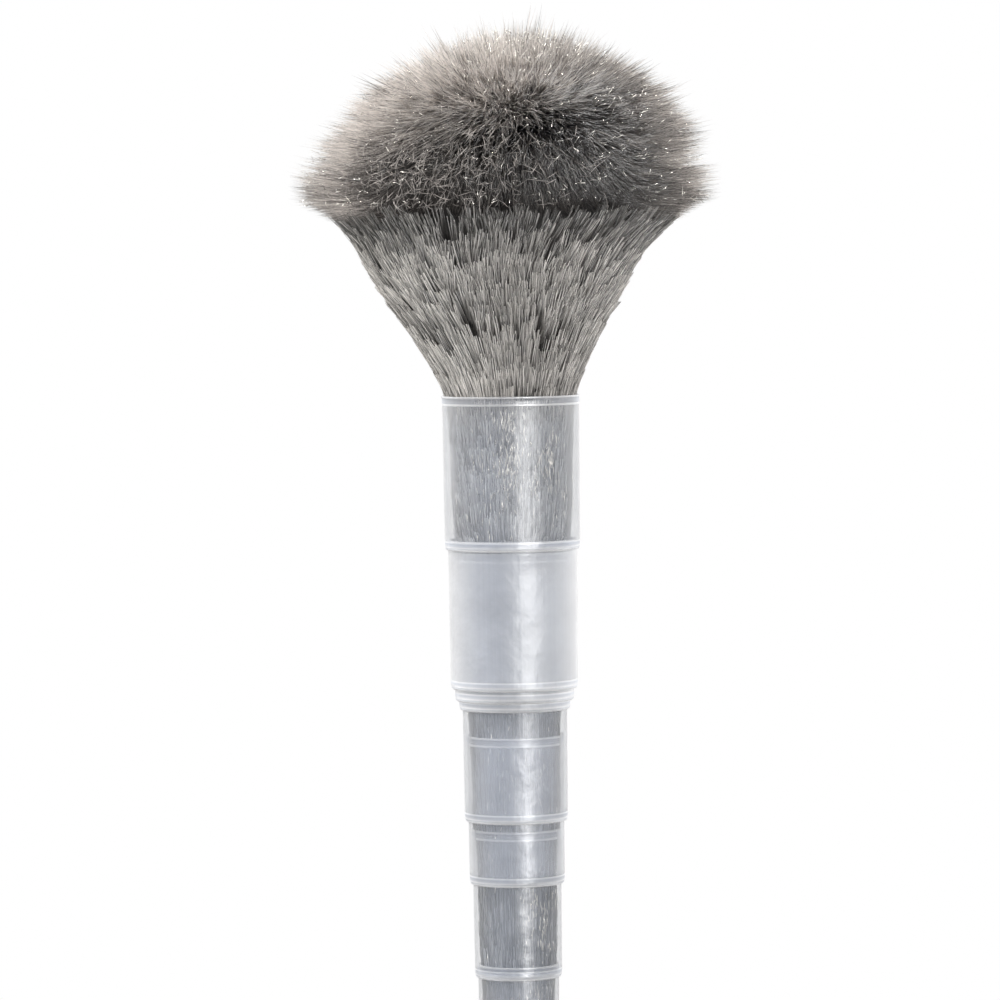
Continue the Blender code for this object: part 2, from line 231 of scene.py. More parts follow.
def addFloor(look):
    bpy.ops.mesh.primitive_circle_add(vertices=128, radius=look["floorRadius"], fill_type="NGON")
    floor = bpy.context.object
    floor.name = "floor"
    floor.location.z = cadBox[0][2] - look["floorGap"]
    material, tree, shader = newMaterial("paleFloor")
    place = objectPlace(tree)
    fade = rangeNode(tree, vectorNode(tree, "LENGTH", place)["Value"], interpolation_type="SMOOTHSTEP")
    feed(fade, From_Min=look["floorPlain"], From_Max=look["floorRadius"] * look["floorWhite"])
    cloud = noiseNode(tree, place, Scale=3.0, Detail=2.0)
    tint = mixColours(tree, cloud, shade(look["floorTint"]), shade(look["floorTint"], look["floorCloud"]))
    paths = newNode(tree, "ShaderNodeLightPath").outputs
    dim = feed(rangeNode(tree, paths["Is Camera Ray"]), To_Min=look["floorBounce"], To_Max=1.0)
    dimmed = vectorNode(tree, "SCALE", tint, Scale=dim.outputs["Result"])["Vector"]
    feed(shader, Base_Color=dimmed, Roughness=0.9, Specular_IOR_Level=0.1)
    glow = feed(newNode(tree, "ShaderNodeEmission"), Color=shade((1, 1, 1))).outputs["Emission"]
    shown = mathNode(tree, paths["Is Camera Ray"], ("MAXIMUM", paths["Is Transmission Ray"]))
    white = mathNode(tree, fade.outputs["Result"], ("MULTIPLY", shown))
    mixed = feed(newNode(tree, "ShaderNodeMixShader"), white, shader.outputs["BSDF"], glow)
    feed(tree.nodes["Material Output"], Surface=mixed.outputs["Shader"])
    floor.data.materials.append(material)


addCamera(cameraView)
addLamps(lamps, roomLook["lampAim"])
addWorld(roomLook)
addFloor(roomLook)
bpy.context.scene.view_settings.view_transform = "Standard"
bpy.context.scene.cycles.transparent_max_bounces = roomLook["clearWalls"]
print("camera, lamps and floor placed")


# Shared shader groups. The inputs come with the values that they start from, and the outputs with their kind
def newGroup(name, inputs, outputs):
    group = bpy.data.node_groups.new(name, "ShaderNodeTree")
    kinds = {"value": "NodeSocketFloat", "colour": "NodeSocketColor", "vector": "NodeSocketVector"}
    for label, start in inputs.items():
        kind = kinds["colour" if isinstance(start, tuple) else "value"]
        group.interface.new_socket(label, in_out="INPUT", socket_type=kind).default_value = start
    for label, kind in outputs.items():
        group.interface.new_socket(label, in_out="OUTPUT", socket_type=kinds[kind])
    return group, newNode(group, "NodeGroupInput").outputs, newNode(group, "NodeGroupOutput")


# Each strand's shade: its own random tone, with painted shade darkening it towards the root, deep in the head, and a
# painted glow lightening it towards the tip
def makeStrandTone():
    group, given, out = newGroup("strandTone", {
        "Root Colour": (0.1, 0.1, 0.1, 1),
        "Tip Colour": (0.5, 0.5, 0.5, 1),
        "Spread": 0.5,
        "Root Share": 0.35,
        "Tip Lift": 0.6,
        "Gloss": 0.4,
        "Cool Colour": (0.925, 0.98, 1.075, 1),
    }, {"Colour": "colour", "Roughness": "value"})
    tone = markOf(group, "tone")
    own = mathNode(group, tone, ("SUBTRACT", 0.5), ("MULTIPLY", given["Spread"]))
    # painted shade at the root and painted glow at the tip, along each strand
    rise = mathNode(group, markOf(group, "along"), ("POWER", 1.6), ("MULTIPLY", given["Tip Lift"]),
                    ("ADD", given["Root Share"]))
    share = mathNode(group, own, ("ADD", 1.0), ("MULTIPLY", rise), clamp=True)
    colour = mixColours(group, share, given["Root Colour"], given["Tip Colour"])
    cool = markOf(group, "cool")  # only the tapes inside the sleeves have it
    tint = mixColours(group, cool, shade((1, 1, 1)), given["Cool Colour"])
    rough = mathNode(group, tone, ("MULTIPLY", 0.18), ("ADD", given["Gloss"]))  # paler strands are duller
    feed(out, Colour=vectorNode(group, "MULTIPLY", colour, tint)["Vector"], Roughness=rough)
    return group


# Fine lines drawn along the height, as a mould or the pull of the fibres leaves them
def makeDrawnLines():
    group, given, out = newGroup("drawnLines", {
        "Across": 900.0,
        "Along": 14.0,
        "Depth": 0.05,
        "Ripple": 0.0,
    }, {"Lines": "value", "Clouds": "value", "Normal": "vector"})
    place = objectPlace(group)
    size = feed(newNode(group, "ShaderNodeCombineXYZ"), given["Across"], given["Across"], given["Along"])
    stretched = vectorNode(group, "MULTIPLY", place, size.outputs["Vector"])["Vector"]
    lines = noiseNode(group, stretched, Scale=1.0, Detail=3.0, Roughness=0.6)
    clouds = noiseNode(group, place, Scale=55.0, Detail=4.0, Roughness=0.55)
    fine = bumpNode(group, lines, given["Depth"], 1 * mm)
    broad = bumpNode(group, clouds, given["Ripple"], 4 * mm, Normal=fine)
    feed(out, Lines=lines, Clouds=clouds, Normal=broad)
    return group


# The fine pebble of a moulded surface, with the faint dulling that hands leave on it
def makeMouldedGrain():
    group, given, out = newGroup("mouldedGrain", {
        "Colour": (0.5, 0.5, 0.5, 1),
        "Grain Size": 2600.0,
        "Depth": 0.1,
        "Gloss": 0.45,
        "Wear": 0.3,
    }, {"Colour": "colour", "Roughness": "value", "Normal": "vector"})
    place = objectPlace(group)
    grain = noiseNode(group, place, Scale=given["Grain Size"], Detail=2.0, Roughness=0.5)
    hands = noiseNode(group, place, Scale=38.0, Detail=5.0, Roughness=0.6)
    worn = mathNode(group, hands, ("SUBTRACT", 0.5), ("MULTIPLY", given["Wear"]))
    rough = mathNode(group, given["Gloss"], ("ADD", worn), clamp=True)
    value = mathNode(group, worn, ("MULTIPLY", 0.35), ("ADD", 1.0))  # worn places are also a little paler
    tinted = vectorNode(group, "SCALE", given["Colour"], Scale=value)["Vector"]
    feed(out, Colour=tinted, Roughness=rough, Normal=bumpNode(group, grain, given["Depth"], 0.4 * mm))
    return group


strandTone = makeStrandTone()
drawnLines = makeDrawnLines()
mouldedGrain = makeMouldedGrain()


def placeGroup(tree, group, **values):
    return feed(newNode(tree, "ShaderNodeGroup", node_tree=group), **values).outputs


def fibreMaterial(name, root, tip, spread, rootShare, lift, gloss, metallic=0.0):
    material, tree, shader = newMaterial(name)
    tone = placeGroup(tree, strandTone, Root_Colour=shade(root), Tip_Colour=shade(tip), Spread=spread,
                      Root_Share=rootShare, Tip_Lift=lift, Gloss=gloss)
    feed(shader, Base_Color=tone["Colour"], Roughness=tone["Roughness"], Specular_IOR_Level=0.6, Metallic=metallic)
    return material


# Milky clear plastic. It is thicker to look through where it curves away
def sleeveMaterial(name, look, haze, shine, gloss, edgePower):
    material, tree, shader = newMaterial(name)
    drawn = placeGroup(tree, drawnLines, Across=look["linesAcross"], Along=look["linesAlong"],
                       Depth=look["lineDepth"], Ripple=look["ripple"])
    facing = feed(newNode(tree, "ShaderNodeLayerWeight"), Blend=0.5).outputs["Facing"]
    inner, thick = markOf(tree, "inner"), markOf(tree, "thick")
    outside = mathNode(tree, 1.0, ("SUBTRACT", mathNode(tree, inner, ("MULTIPLY", look["innerClear"]))))
    edge = mathNode(tree, facing, ("POWER", edgePower), ("MULTIPLY", look["edgeHaze"]), ("MULTIPLY", outside),
                    ("ADD", thick))
    turned = mathNode(tree, inner, ("MULTIPLY", facing), ("MULTIPLY", haze * look["innerFade"]))
    plain = mathNode(tree, haze, ("SUBTRACT", turned), clamp=True)
    cloud = mathNode(tree, drawn["Clouds"], ("SUBTRACT", 0.5))
    streak = mathNode(tree, drawn["Lines"], ("SUBTRACT", 0.5), ("MULTIPLY", look["streakHaze"]))
    uneven = mathNode(tree, cloud, ("MULTIPLY", look["cloudHaze"]), ("ADD", streak))
    cover = mathNode(tree, edge, ("ADD", plain), ("ADD", uneven), clamp=True)
    tint = mixColours(tree, inner, shade(look["outerColour"]), shade(look["innerColour"]))
    bright = mathNode(tree, cloud, ("MULTIPLY", look["cloudShade"]), ("ADD", 1.0),
                      ("ADD", mathNode(tree, thick, ("MULTIPLY", look["thickShade"]))))
    patchy = vectorNode(tree, "SCALE", tint, Scale=bright)["Vector"]
    rough = mathNode(tree, drawn["Lines"], ("MULTIPLY", look["lineDulling"]), ("ADD", gloss))
    feed(shader, Base_Color=patchy, Alpha=cover, Roughness=rough, Normal=drawn["Normal"], IOR=look["bend"],
         Specular_IOR_Level=shine)
    return material


def plasticMaterial(name, look):
    material, tree, shader = newMaterial(name)
    surface = placeGroup(tree, mouldedGrain, Colour=shade(look["colour"]), Grain_Size=look["grain"],
                         Depth=look["depth"], Gloss=look["gloss"], Wear=look["wear"])
    feed(shader, Base_Color=surface["Colour"], Roughness=surface["Roughness"], Normal=surface["Normal"])
    return material


# Steel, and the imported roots: one colour between two shades, with drawn lines
def linedMaterial(name, colour, look):
    material, tree, shader = newMaterial(name)
    drawn = placeGroup(tree, drawnLines, Across=look["across"], Along=look["along"], Depth=look["depth"])
    dark, pale = (shade(colour, by) for by in look["shades"])
    feed(shader, Base_Color=mixColours(tree, drawn[look["pattern"]], dark, pale), Normal=drawn["Normal"],
         Roughness=look["roughness"], Metallic=look["metallic"])
    return material


# Meshes
def meshFromFaces(name, points, corners, starts, mapCorners):
    mesh = bpy.data.meshes.new(name)
    mesh.vertices.add(len(points))
    mesh.vertices.foreach_set("co", points.astype(np.float32).ravel())
    mesh.loops.add(len(corners))
    mesh.loops.foreach_set("vertex_index", corners.astype(np.int32))
    mesh.polygons.add(len(starts))
    mesh.polygons.foreach_set("loop_start", starts.astype(np.int32))
    mesh.update(calc_edges=True)
    mesh.shade_smooth()
    layer = mesh.uv_layers.new(name="OFBake")
    layer.uv.foreach_set("vector", mapCorners.astype(np.float32).ravel())
    mesh.validate()
    return mesh


def markPoints(mesh, label, values):
    layer = mesh.attributes.new(label, "FLOAT", "POINT")
    layer.data.foreach_set("value", values.astype(np.float32))


def polar(angle, radius, height):
    return np.stack([radius * np.cos(angle), radius * np.sin(angle), height], -1)


# An outline is a closed list of (radius, height), down the outer side and up the inner one. A sleeve's also has
# how much milkier the plastic is there, and 1 on its inner wall.
def turnedMesh(name, outline, segments):
    outline = np.array(outline, float)
    outline, extras = outline[:, :2], outline[:, 2:]
    count = len(outline)
    angle = np.arange(segments) * math.tau / segments
    points = polar(angle, outline[:, :1], np.repeat(outline[:, 1:], segments, 1))
    row, column = np.meshgrid(np.arange(count), np.arange(segments), indexing="ij")
    below, beside = (row + 1) % count, (column + 1) % segments
    corners = np.stack([
        row * segments + column, below * segments + column,
        below * segments + beside, row * segments + beside,
    ], -1)
    steps = np.linalg.norm(np.roll(outline, -1, 0) - outline, axis=1)
    travelled = np.concatenate([[0], np.cumsum(steps)])
    travelled /= travelled[-1]
    across, down = column / segments, travelled[row]
    nextAcross, nextDown = (column + 1) / segments, travelled[row + 1]
    mapCorners = np.stack([across, down, across, nextDown, nextAcross, nextDown, nextAcross, down], -1)
    starts = np.arange(count * segments) * 4
    mesh = meshFromFaces(name, points.reshape(-1, 3), corners.ravel(), starts, mapCorners)
    for label, values in zip(("thick", "inner"), extras.T):
        markPoints(mesh, label, np.repeat(values, segments))
    return mesh


# control holds each strand's root, bend and tip. facing is the way its flat side looks
def strandMesh(name, control, width, facing, tone, look, rng, cool=None):
    count, sides, rings = len(control), look["sides"], look["rings"]
    blunt = look["blunt"]
    share = np.arange(rings) / (rings - 1 if blunt else rings)
    share = np.append(share, 1.0)[None, :, None]
    root, bend, tip = (control[:, index, None, :] for index in range(3))
    middle = root * (1 - share) ** 2 + bend * 2 * share * (1 - share) + tip * share ** 2
    ahead = (bend - root) * (1 - share) + (tip - bend) * share + 1e-9
    ahead /= np.linalg.norm(ahead, axis=2, keepdims=True)
    aside = np.cross(ahead, facing[:, None, :])
    aside /= np.linalg.norm(aside, axis=2, keepdims=True) + 1e-12
    outward = np.cross(aside, ahead)
    phase = rng.uniform(0, math.tau, (count, 1, 1))
    sway = look["curl"] * share * np.sin(share * math.tau * look["curlTurns"] + phase)
    middle = middle + aside * sway + outward * sway * np.cos(phase)
    thick = width[:, None, None] * (1 - look["taper"] * share ** look["taperPower"])
    turn = (np.arange(sides) + look["turn"]) * math.tau / sides
    wide, deep = np.cos(turn)[None, None, :, None], np.sin(turn)[None, None, :, None] * look["flat"]
    ringThick = (thick[:, :-1] * 0.5)[:, :, None]
    points = middle[:, :-1, None] + ringThick * (aside[:, :-1, None] * wide + outward[:, :-1, None] * deep)
    points = points.reshape(count, rings * sides, 3)
    faces = []
    for ring in range(rings - 1):
        for side in range(sides):
            beside = (side + 1) % sides
            faces.append((ring * sides + side, ring * sides + beside,
                          (ring + 1) * sides + beside, (ring + 1) * sides + side))
    last = (rings - 1) * sides
    if blunt:
        faces.append(tuple(last + side for side in range(sides)))
    else:
        points = np.concatenate([points, middle[:, -1:]], 1)
        faces += [(last + side, last + (side + 1) % sides, rings * sides) for side in range(sides)]
    faces.append(tuple(range(sides - 1, -1, -1)))
    each = points.shape[1]
    pattern = np.concatenate([np.array(face) for face in faces])
    sizes = np.array([len(face) for face in faces])
    offsets = np.arange(count)[:, None]
    corners = (pattern[None] + offsets * each).ravel()
    starts = (np.concatenate([[0], np.cumsum(sizes)[:-1]])[None] + offsets * len(pattern)).ravel()
    mapCorners = strandMap(faces, rings, sides, count)
    mesh = meshFromFaces(name, points.reshape(-1, 3), corners, starts, mapCorners)
    alongShare = np.repeat(share[0, :-1, 0], sides)
    if not blunt:
        alongShare = np.append(alongShare, 1.0)
    markPoints(mesh, "tone", np.repeat(tone, each))
    markPoints(mesh, "along", np.tile(alongShare, count))
    if cool is not None:
        markPoints(mesh, "cool", np.repeat(cool, each))
    return mesh


# Lays the strands side by side on the map, each in a cell of its own
def strandMap(faces, rings, sides, count):
    inCell, margin, cellHeight = [], 0.05, 3  # a cell is three times as high as it is wide
    for face in faces:
        walls = [index % sides for index in face]
        for index in face:
            wall = index % sides
            if len(face) == 4 and max(walls) - min(walls) > 1 and wall == 0:
                wall = sides
            height = min(index // sides, rings) / rings
            if index == rings * sides:
                wall = min(walls[:2]) + 0.5
            inCell.append((wall / sides, height))
    inCell = np.array(inCell)[None] * (1 - 2 * margin) + margin
    columns = math.ceil(math.sqrt(count * cellHeight))
    lines = math.ceil(count / columns)
    which = np.arange(count)[:, None]
    across = (which % columns + inCell[:, :, 0]) / columns
    up = (which // columns + inCell[:, :, 1]) / lines
    return np.stack([across, up], -1).reshape(-1, 2)


def addPiece(name, mesh, body, material, slot, *nodes):
    piece = bpy.data.objects.new(name, mesh)
    bpy.context.scene.collection.objects.link(piece)
    mesh.materials.append(material)
    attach(piece, body)
    if nodes:
        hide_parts(*nodes)
    return piece


# Sleeves
sleeveShape = {
    "segments": 128,
    "wall": 0.6 * mm,
    "draft": 0.3 * mm,
    "bead": 0.3 * mm,  # how far the rim stands out
    "beadOuts": (0.3 * mm, 0.13 * mm),  # the lower bead clears the next sleeve's lip
    "beadSteps": 6,
    "step": 1.4 * mm,  # from one sleeve's radius to the next
    "slideGap": 0.15 * mm,
    "beadsBelow": (0.35 * mm, 2.95 * mm),  # each bead's middle, below the top
    "beadHalf": 0.38 * mm,
    "grooveOut": 0.06 * mm,
    "rimEdge": 0.12 * mm,
    "rimEase": 0.2 * mm,  # from the lower bead to the plain wall
    "shoulder": 3.1 * mm,
    "shoulderPower": 0.7,
    "footRise": 0.15 * mm,
    "wallEase": 0.3 * mm,
    "lipHeight": 0.9 * mm,
    "lipFace": 0.35 * mm,
    "corner": 0.1 * mm,  # how much every sharp corner is taken off
    "milk": (0.36, 0.06, 0.6),  # more at the beads, the inner turn and the lip, where the plastic is thick
    "groove": (0.12, 0.16),  # the milk between the beads, and how much of the inner wall's tint shows there
    "turnMilks": (0.36, 0.12, 0.18, 0.38, 0.14, 0.22, 0.45, 0.55),  # down the shoulder's rings
    "turnTints": (0.0, 0.16, 0.08, 0.0, 0.14, 0.05, 0.0, 0.0),
}
sleeveLook = {
    "outerColour": (0.745, 0.745, 0.752),
    "innerColour": (0.47, 0.605, 0.87),
    "hazes": (0.16, 0.335, 0.46, 0.46, 0.26, 0.26, 0.175, 0.27),  # the mouth sleeve first
    "shines": (0.95, 0.9, 0.45, 0.45, 0.75, 0.85, 0.9, 0.9),
    "edgeHaze": 0.9,
    "edgePowers": (2.1, 1.6, 1.8, 2.4, 4.0, 4.0, 3.2, 4.0),
    "innerClear": 0.85,  # how much less the inner wall clouds towards the edges
    "innerFade": 1.6,  # and how fast its plain haze goes there
    "glosses": (0.37, 0.45, 0.42, 0.42, 0.4, 0.38, 0.33, 0.33),  # roughness, before the lines
    "lineDulling": 0.12,
    "cloudHaze": 0.1,
    "streakHaze": 0.06,
    "cloudShade": 0.3,
    "thickShade": 0.38,
    "bend": 1.8,  # refractive index
    "linesAcross": 700.0,
    "linesAlong": 9.0,
    "lineDepth": 0.12,
    "ripple": 0.36,
}


def sleeveOutline(name, shape):
    low, high = sleeveBoxes[name]
    bottom, top = low.z, high.z
    corner, beadHalf, footRise = shape["corner"], shape["beadHalf"], shape["footRise"]
    radius = high.x - shape["bead"]
    foot = radius - shape["draft"]
    lip = radius - shape["step"] + shape["slideGap"]
    beadMilk, turnMilk, lipMilk = shape["milk"]
    outline = [(radius - shape["wall"] + shape["rimEdge"], top, beadMilk, 0)]
    for below, stands in zip(shape["beadsBelow"], shape["beadOuts"]):  # the top ring is the rim's edge
        for step in range(shape["beadSteps"] + 1):
            turn = math.pi * step / shape["beadSteps"]
            out = radius + shape["grooveOut"] + (stands - shape["grooveOut"]) * math.sin(turn)
            milk, tint = (beadMilk, 0) if 0 < step < shape["beadSteps"] else shape["groove"]
            outline.append((out, top - below + beadHalf * math.cos(turn), milk, tint))
    rimFoot = top - shape["beadsBelow"][-1] - beadHalf - shape["rimEase"]
    outline.append((radius, rimFoot, 0, 0))
    turnTop = bottom + shape["shoulder"]
    wallFoot = turnTop + shape["wallEase"]
    for share in (0.25, 0.5, 0.75, 1):
        outline.append((radius + (foot - radius) * share, rimFoot + (wallFoot - rimFoot) * share, 0, 0))
    face = lip + shape["lipFace"]
    turnRings = list(zip(shape["turnMilks"], shape["turnTints"]))
    for step, (milk, tint) in enumerate(turnRings):  # the shoulder turns in to the lip
        turn = math.pi / 2 * step / (len(turnRings) - 1)
        out = face + (foot - face) * math.cos(turn) ** shape["shoulderPower"]
        height = bottom + footRise + (shape["shoulder"] - footRise) * (1 - math.sin(turn))
        outline.append((out, height, milk, tint))
    inside = foot - shape["wall"]
    lipTop = bottom + shape["lipHeight"]
    outline += [
        (face - corner, bottom, lipMilk, 0), (lip + corner * 0.8, bottom, lipMilk, 0),
        (lip, bottom + corner, lipMilk, 0), (lip, lipTop - corner, lipMilk, 0),
        (lip + corner, lipTop, lipMilk, 0), (inside - corner, lipTop + corner / 2, turnMilk, 1),
        (inside, lipTop + corner * 4, turnMilk, 1), (inside, turnTop, turnMilk, 1), (inside, wallFoot, 0, 1),
    ]
    for share in (0.25, 0.5, 0.75):
        outline.append((inside + shape["draft"] * share, turnTop + (top - turnTop) * share, 0, 1))
    for height in (rimFoot, top - shape["rimEdge"]):
        outline.append((radius - shape["wall"], height, 0, 1))
    return outline


sleeveFinishes = zip(*(sleeveLook[key] for key in ("hazes", "shines", "glosses", "edgePowers")))
for name, finish in zip(sleeveNames, sleeveFinishes):
    clearPlastic = sleeveMaterial(name + "Plastic", sleeveLook, *finish)
    mesh = turnedMesh(name + "Clear", sleeveOutline(name, sleeveShape), sleeveShape["segments"])
    addPiece(name + "Clear", mesh, nodeBody[name], clearPlastic, "sleeve_plastic", name)
print("sleeves turned")


# How wide the fibres spread at each height. The bundle fills the sleeves, and the head blooms from the mouth
headShape = {
    "bundle": [  # (height, radius)
        (132 * mm, 12.4 * mm), (181 * mm, 12.8 * mm), (184.5 * mm, 13.7 * mm), (227 * mm, 14.1 * mm),
        (231 * mm, 15.5 * mm), (260 * mm, 15.7 * mm), (265 * mm, 16.3 * mm), (322 * mm, 16.6 * mm),
        (333 * mm, 20.6 * mm), (345 * mm, 21.1 * mm), (368 * mm, 21.7 * mm),
    ],
    "coneRiseShares": (0.0, 0.09, 0.179, 0.289, 0.426, 0.481),
    "coneRadii": (22.5 * mm, 28.0 * mm, 34.1 * mm, 42.9 * mm, 52.5 * mm, 58.1 * mm),
    "puffMiddleShare": 0.552,  # of the head's rise
    "puffRadius": 75.2 * mm,
    "puffHeight": 59.5 * mm,
    "puffDepth": 24.0 * mm,
    "puffPower": 1.69,
    "leanHeights": (0.385, 0.415, 0.425, 0.433, 0.442, 0.460, 0.480, 0.515),
    "leans": (0.0, -2.2 * mm, -3.0 * mm, -2.2 * mm, -0.6 * mm, -1.2 * mm, 2.6 * mm, 4.4 * mm),
}
coneHeights = [mouthTop + headRise * share for share in headShape["coneRiseShares"]]
fibreHeights = np.array([height for height, radius in headShape["bundle"]] + coneHeights)
fibreRadii = np.array([radius for height, radius in headShape["bundle"]] + list(headShape["coneRadii"]))


def fibreRadius(height):
    return np.interp(height, fibreHeights, fibreRadii)


# Draws the fibres in as the sleeves rise: the shape that they have at the mouth moves up with it
gatherShape = {
    "reach": headTop * 1.1,
    "widest": 120 * mm,  # what the cone's slope would come to at that reach
    "tighten": 1.1,  # a little more than the sleeves need, so that nothing reaches the wall
}


def makeGather(shape):
    group = bpy.data.node_groups.new("gatherFibres", "GeometryNodeTree")
    for inOut in ("INPUT", "OUTPUT"):
        group.interface.new_socket("Geometry", in_out=inOut, socket_type="NodeSocketGeometry")
    given, out = newNode(group, "NodeGroupInput").outputs, newNode(group, "NodeGroupOutput")
    raised = 0.0
    for name in sleeveNames:
        body = nodeBody[name]
        if body == headBody:
            continue
        where = newNode(group, "GeometryNodeObjectInfo")
        where.inputs["Object"].default_value = frame["bodies"][body]
        parts = feed(newNode(group, "ShaderNodeSeparateXYZ"), where.outputs["Location"])
        raised = mathNode(group, raised, ("MAXIMUM", parts.outputs["Z"]))
    position = newNode(group, "GeometryNodeInputPosition").outputs["Position"]
    place = feed(newNode(group, "ShaderNodeSeparateXYZ"), position).outputs
    reach, widest = shape["reach"], shape["widest"]
    radii = []
    for height in (place["Z"], mathNode(group, place["Z"], ("SUBTRACT", raised))):
        curve = newNode(group, "ShaderNodeFloatCurve")
        points = curve.mapping.curves[0].points
        points[0].location = (0, fibreRadii[0] / widest)
        points[1].location = (1, 1)
        for outlineHeight, outlineRadius in zip(fibreHeights, fibreRadii):
            points.new(outlineHeight / reach, outlineRadius / widest)
        for point in points:
            point.handle_type = "VECTOR"
        curve.mapping.update()
        radii.append(feed(curve, Value=mathNode(group, height, ("DIVIDE", reach))).outputs["Value"])
    share = mathNode(group, radii[1], ("DIVIDE", radii[0]), ("MINIMUM", 1.0), ("POWER", shape["tighten"]))
    drawnIn = [mathNode(group, place[axis], ("MULTIPLY", share)) for axis in "XY"]
    moved = feed(newNode(group, "ShaderNodeCombineXYZ"), *drawnIn, place["Z"]).outputs["Vector"]
    shift = feed(newNode(group, "GeometryNodeSetPosition"), Geometry=given["Geometry"], Position=moved)
    feed(out, Geometry=shift.outputs["Geometry"])
    return group


gatherFibres = makeGather(gatherShape)


def gathered(piece):
    modifier = piece.modifiers.new("gather", "NODES")
    modifier.node_group = gatherFibres


def layFibres(name, control, width, facing, tone, look, rng, material, *nodes, cool=None):
    mesh = strandMesh(name, control, width, facing, tone, look, rng, cool)
    gathered(addPiece(name, mesh, headBody, material, "head_fibre", *nodes))


# Flat split tapes lie up the bundle and the cone like thatch. A clump's tapes end in one square cut
tapeLook = {
    "sides": 3,
    "turn": 0.25,  # of the sides, in steps
    "rings": 3,
    "blunt": True,
    "curl": 0.08 * mm,
    "curlTurns": 1.0,
    "taper": 0.15,
    "taperPower": 2.0,
    "flat": 0.45,
}
tapeTiers = [  # node, tip heights, how many clumps, and in mm: width, length, and how deep the roots lie
    ("packed_fibres_1", (0.142, 0.186), 240, 0.44, 30, 1.6),
    ("packed_fibres_2", (0.186, 0.234), 270, 0.44, 30, 1.6),
    ("packed_fibres_3", (0.234, 0.282), 310, 0.44, 30, 1.6),
    ("packed_fibres_4", (0.282, 0.330), 340, 0.44, 30, 1.8),
    ("flare_fibres_lower", (0.330, 0.408), 1800, 0.42, 17, 2.0),
    ("flare_fibres_upper", (0.408, 0.448), 2000, 0.42, 14, 2.9),
]
# the near-black root colours are painted shade
bundleFibre = fibreMaterial("bundleFibre", (0.036, 0.035, 0.036), (0.715, 0.705, 0.69), 1.3, 0.35, 0.1, 0.18)
coneFibre = fibreMaterial("coneFibre", (0.03, 0.028, 0.025), (0.82, 0.78, 0.733), 1.4, 0.2, 0.64, 0.34)
puffFibre = fibreMaterial("puffFibre", (0.026, 0.022, 0.0185), (0.8, 0.727, 0.67), 1.6, 0.2, 0.78, 0.32)
# painted glints: pale metallic strands that shine from every side
paintedGlintFibre = fibreMaterial("paintedGlintFibre", (0.3, 0.295, 0.28), (0.97, 0.93, 0.86), 1.0, 0.6, 0.2, 0.15, metallic=0.8)


def headLean(height):  # the head isn't quite straight
    return np.interp(height, headShape["leanHeights"], headShape["leans"])


def ramp(value, start, over):  # 0 up to start, and 1 from there plus over
    return np.clip((value - start) / over, 0, 1)


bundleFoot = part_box("packed_fibres_1")[0].z
toneRange = (-0.1, 1)  # of every tape's and strand's shade
tapeShape = {
    "clumpSizes": (3, 11),
    "tipCrowding": 0.85,
    "tipJitter": 0.3 * mm,
    "spread": 1.15,  # between a clump's tapes, in widths
    "spreadJitter": 0.25,
    "lengths": (0.8, 1.15),
    "widths": (0.6, 1.25),
    "depths": (0.3, 1.2),
    "under": 0.2 * mm,
    "lift": 0.18 * mm,
    "liftMost": 0.4 * mm,
    "flareLift": 4,  # how much more they lift at the cone's edge
    "clumpDrift": 0.018,
    "drift": 0.006,
    "twist": 0.3,
    "clumpTones": 0.13,
    "tones": 0.24,
}
paintedConeShade = {"from": 0.433, "over": 0.012, "by": 0.58}  # painted shade: the cone's upper tapes are darker under the puff's overhang
# The cone's edge turns out into the puff, and some clumps stand off the cone above the mouth
coneFlare = {"from": 0.434, "over": 0.014, "by": 3 * mm, "power": 1.8, "most": 1.2}
looseTapes = {"share": 0.22, "by": 0.8 * mm, "each": (0.3, 1.5), "from": 13 * mm, "over": 16 * mm}
coolOver = 12 * mm  # below the mouth, where the fibres turn to a cooler grey
tierMeet = {"height": 0.330, "over": 0.014, "by": 0.2}  # where the bundle's shade runs into the cone's
sleeveCalm = {"below": 2 * mm, "share": 0.63, "tone": 0.44}  # the clumps' contrast and shade below the mouth


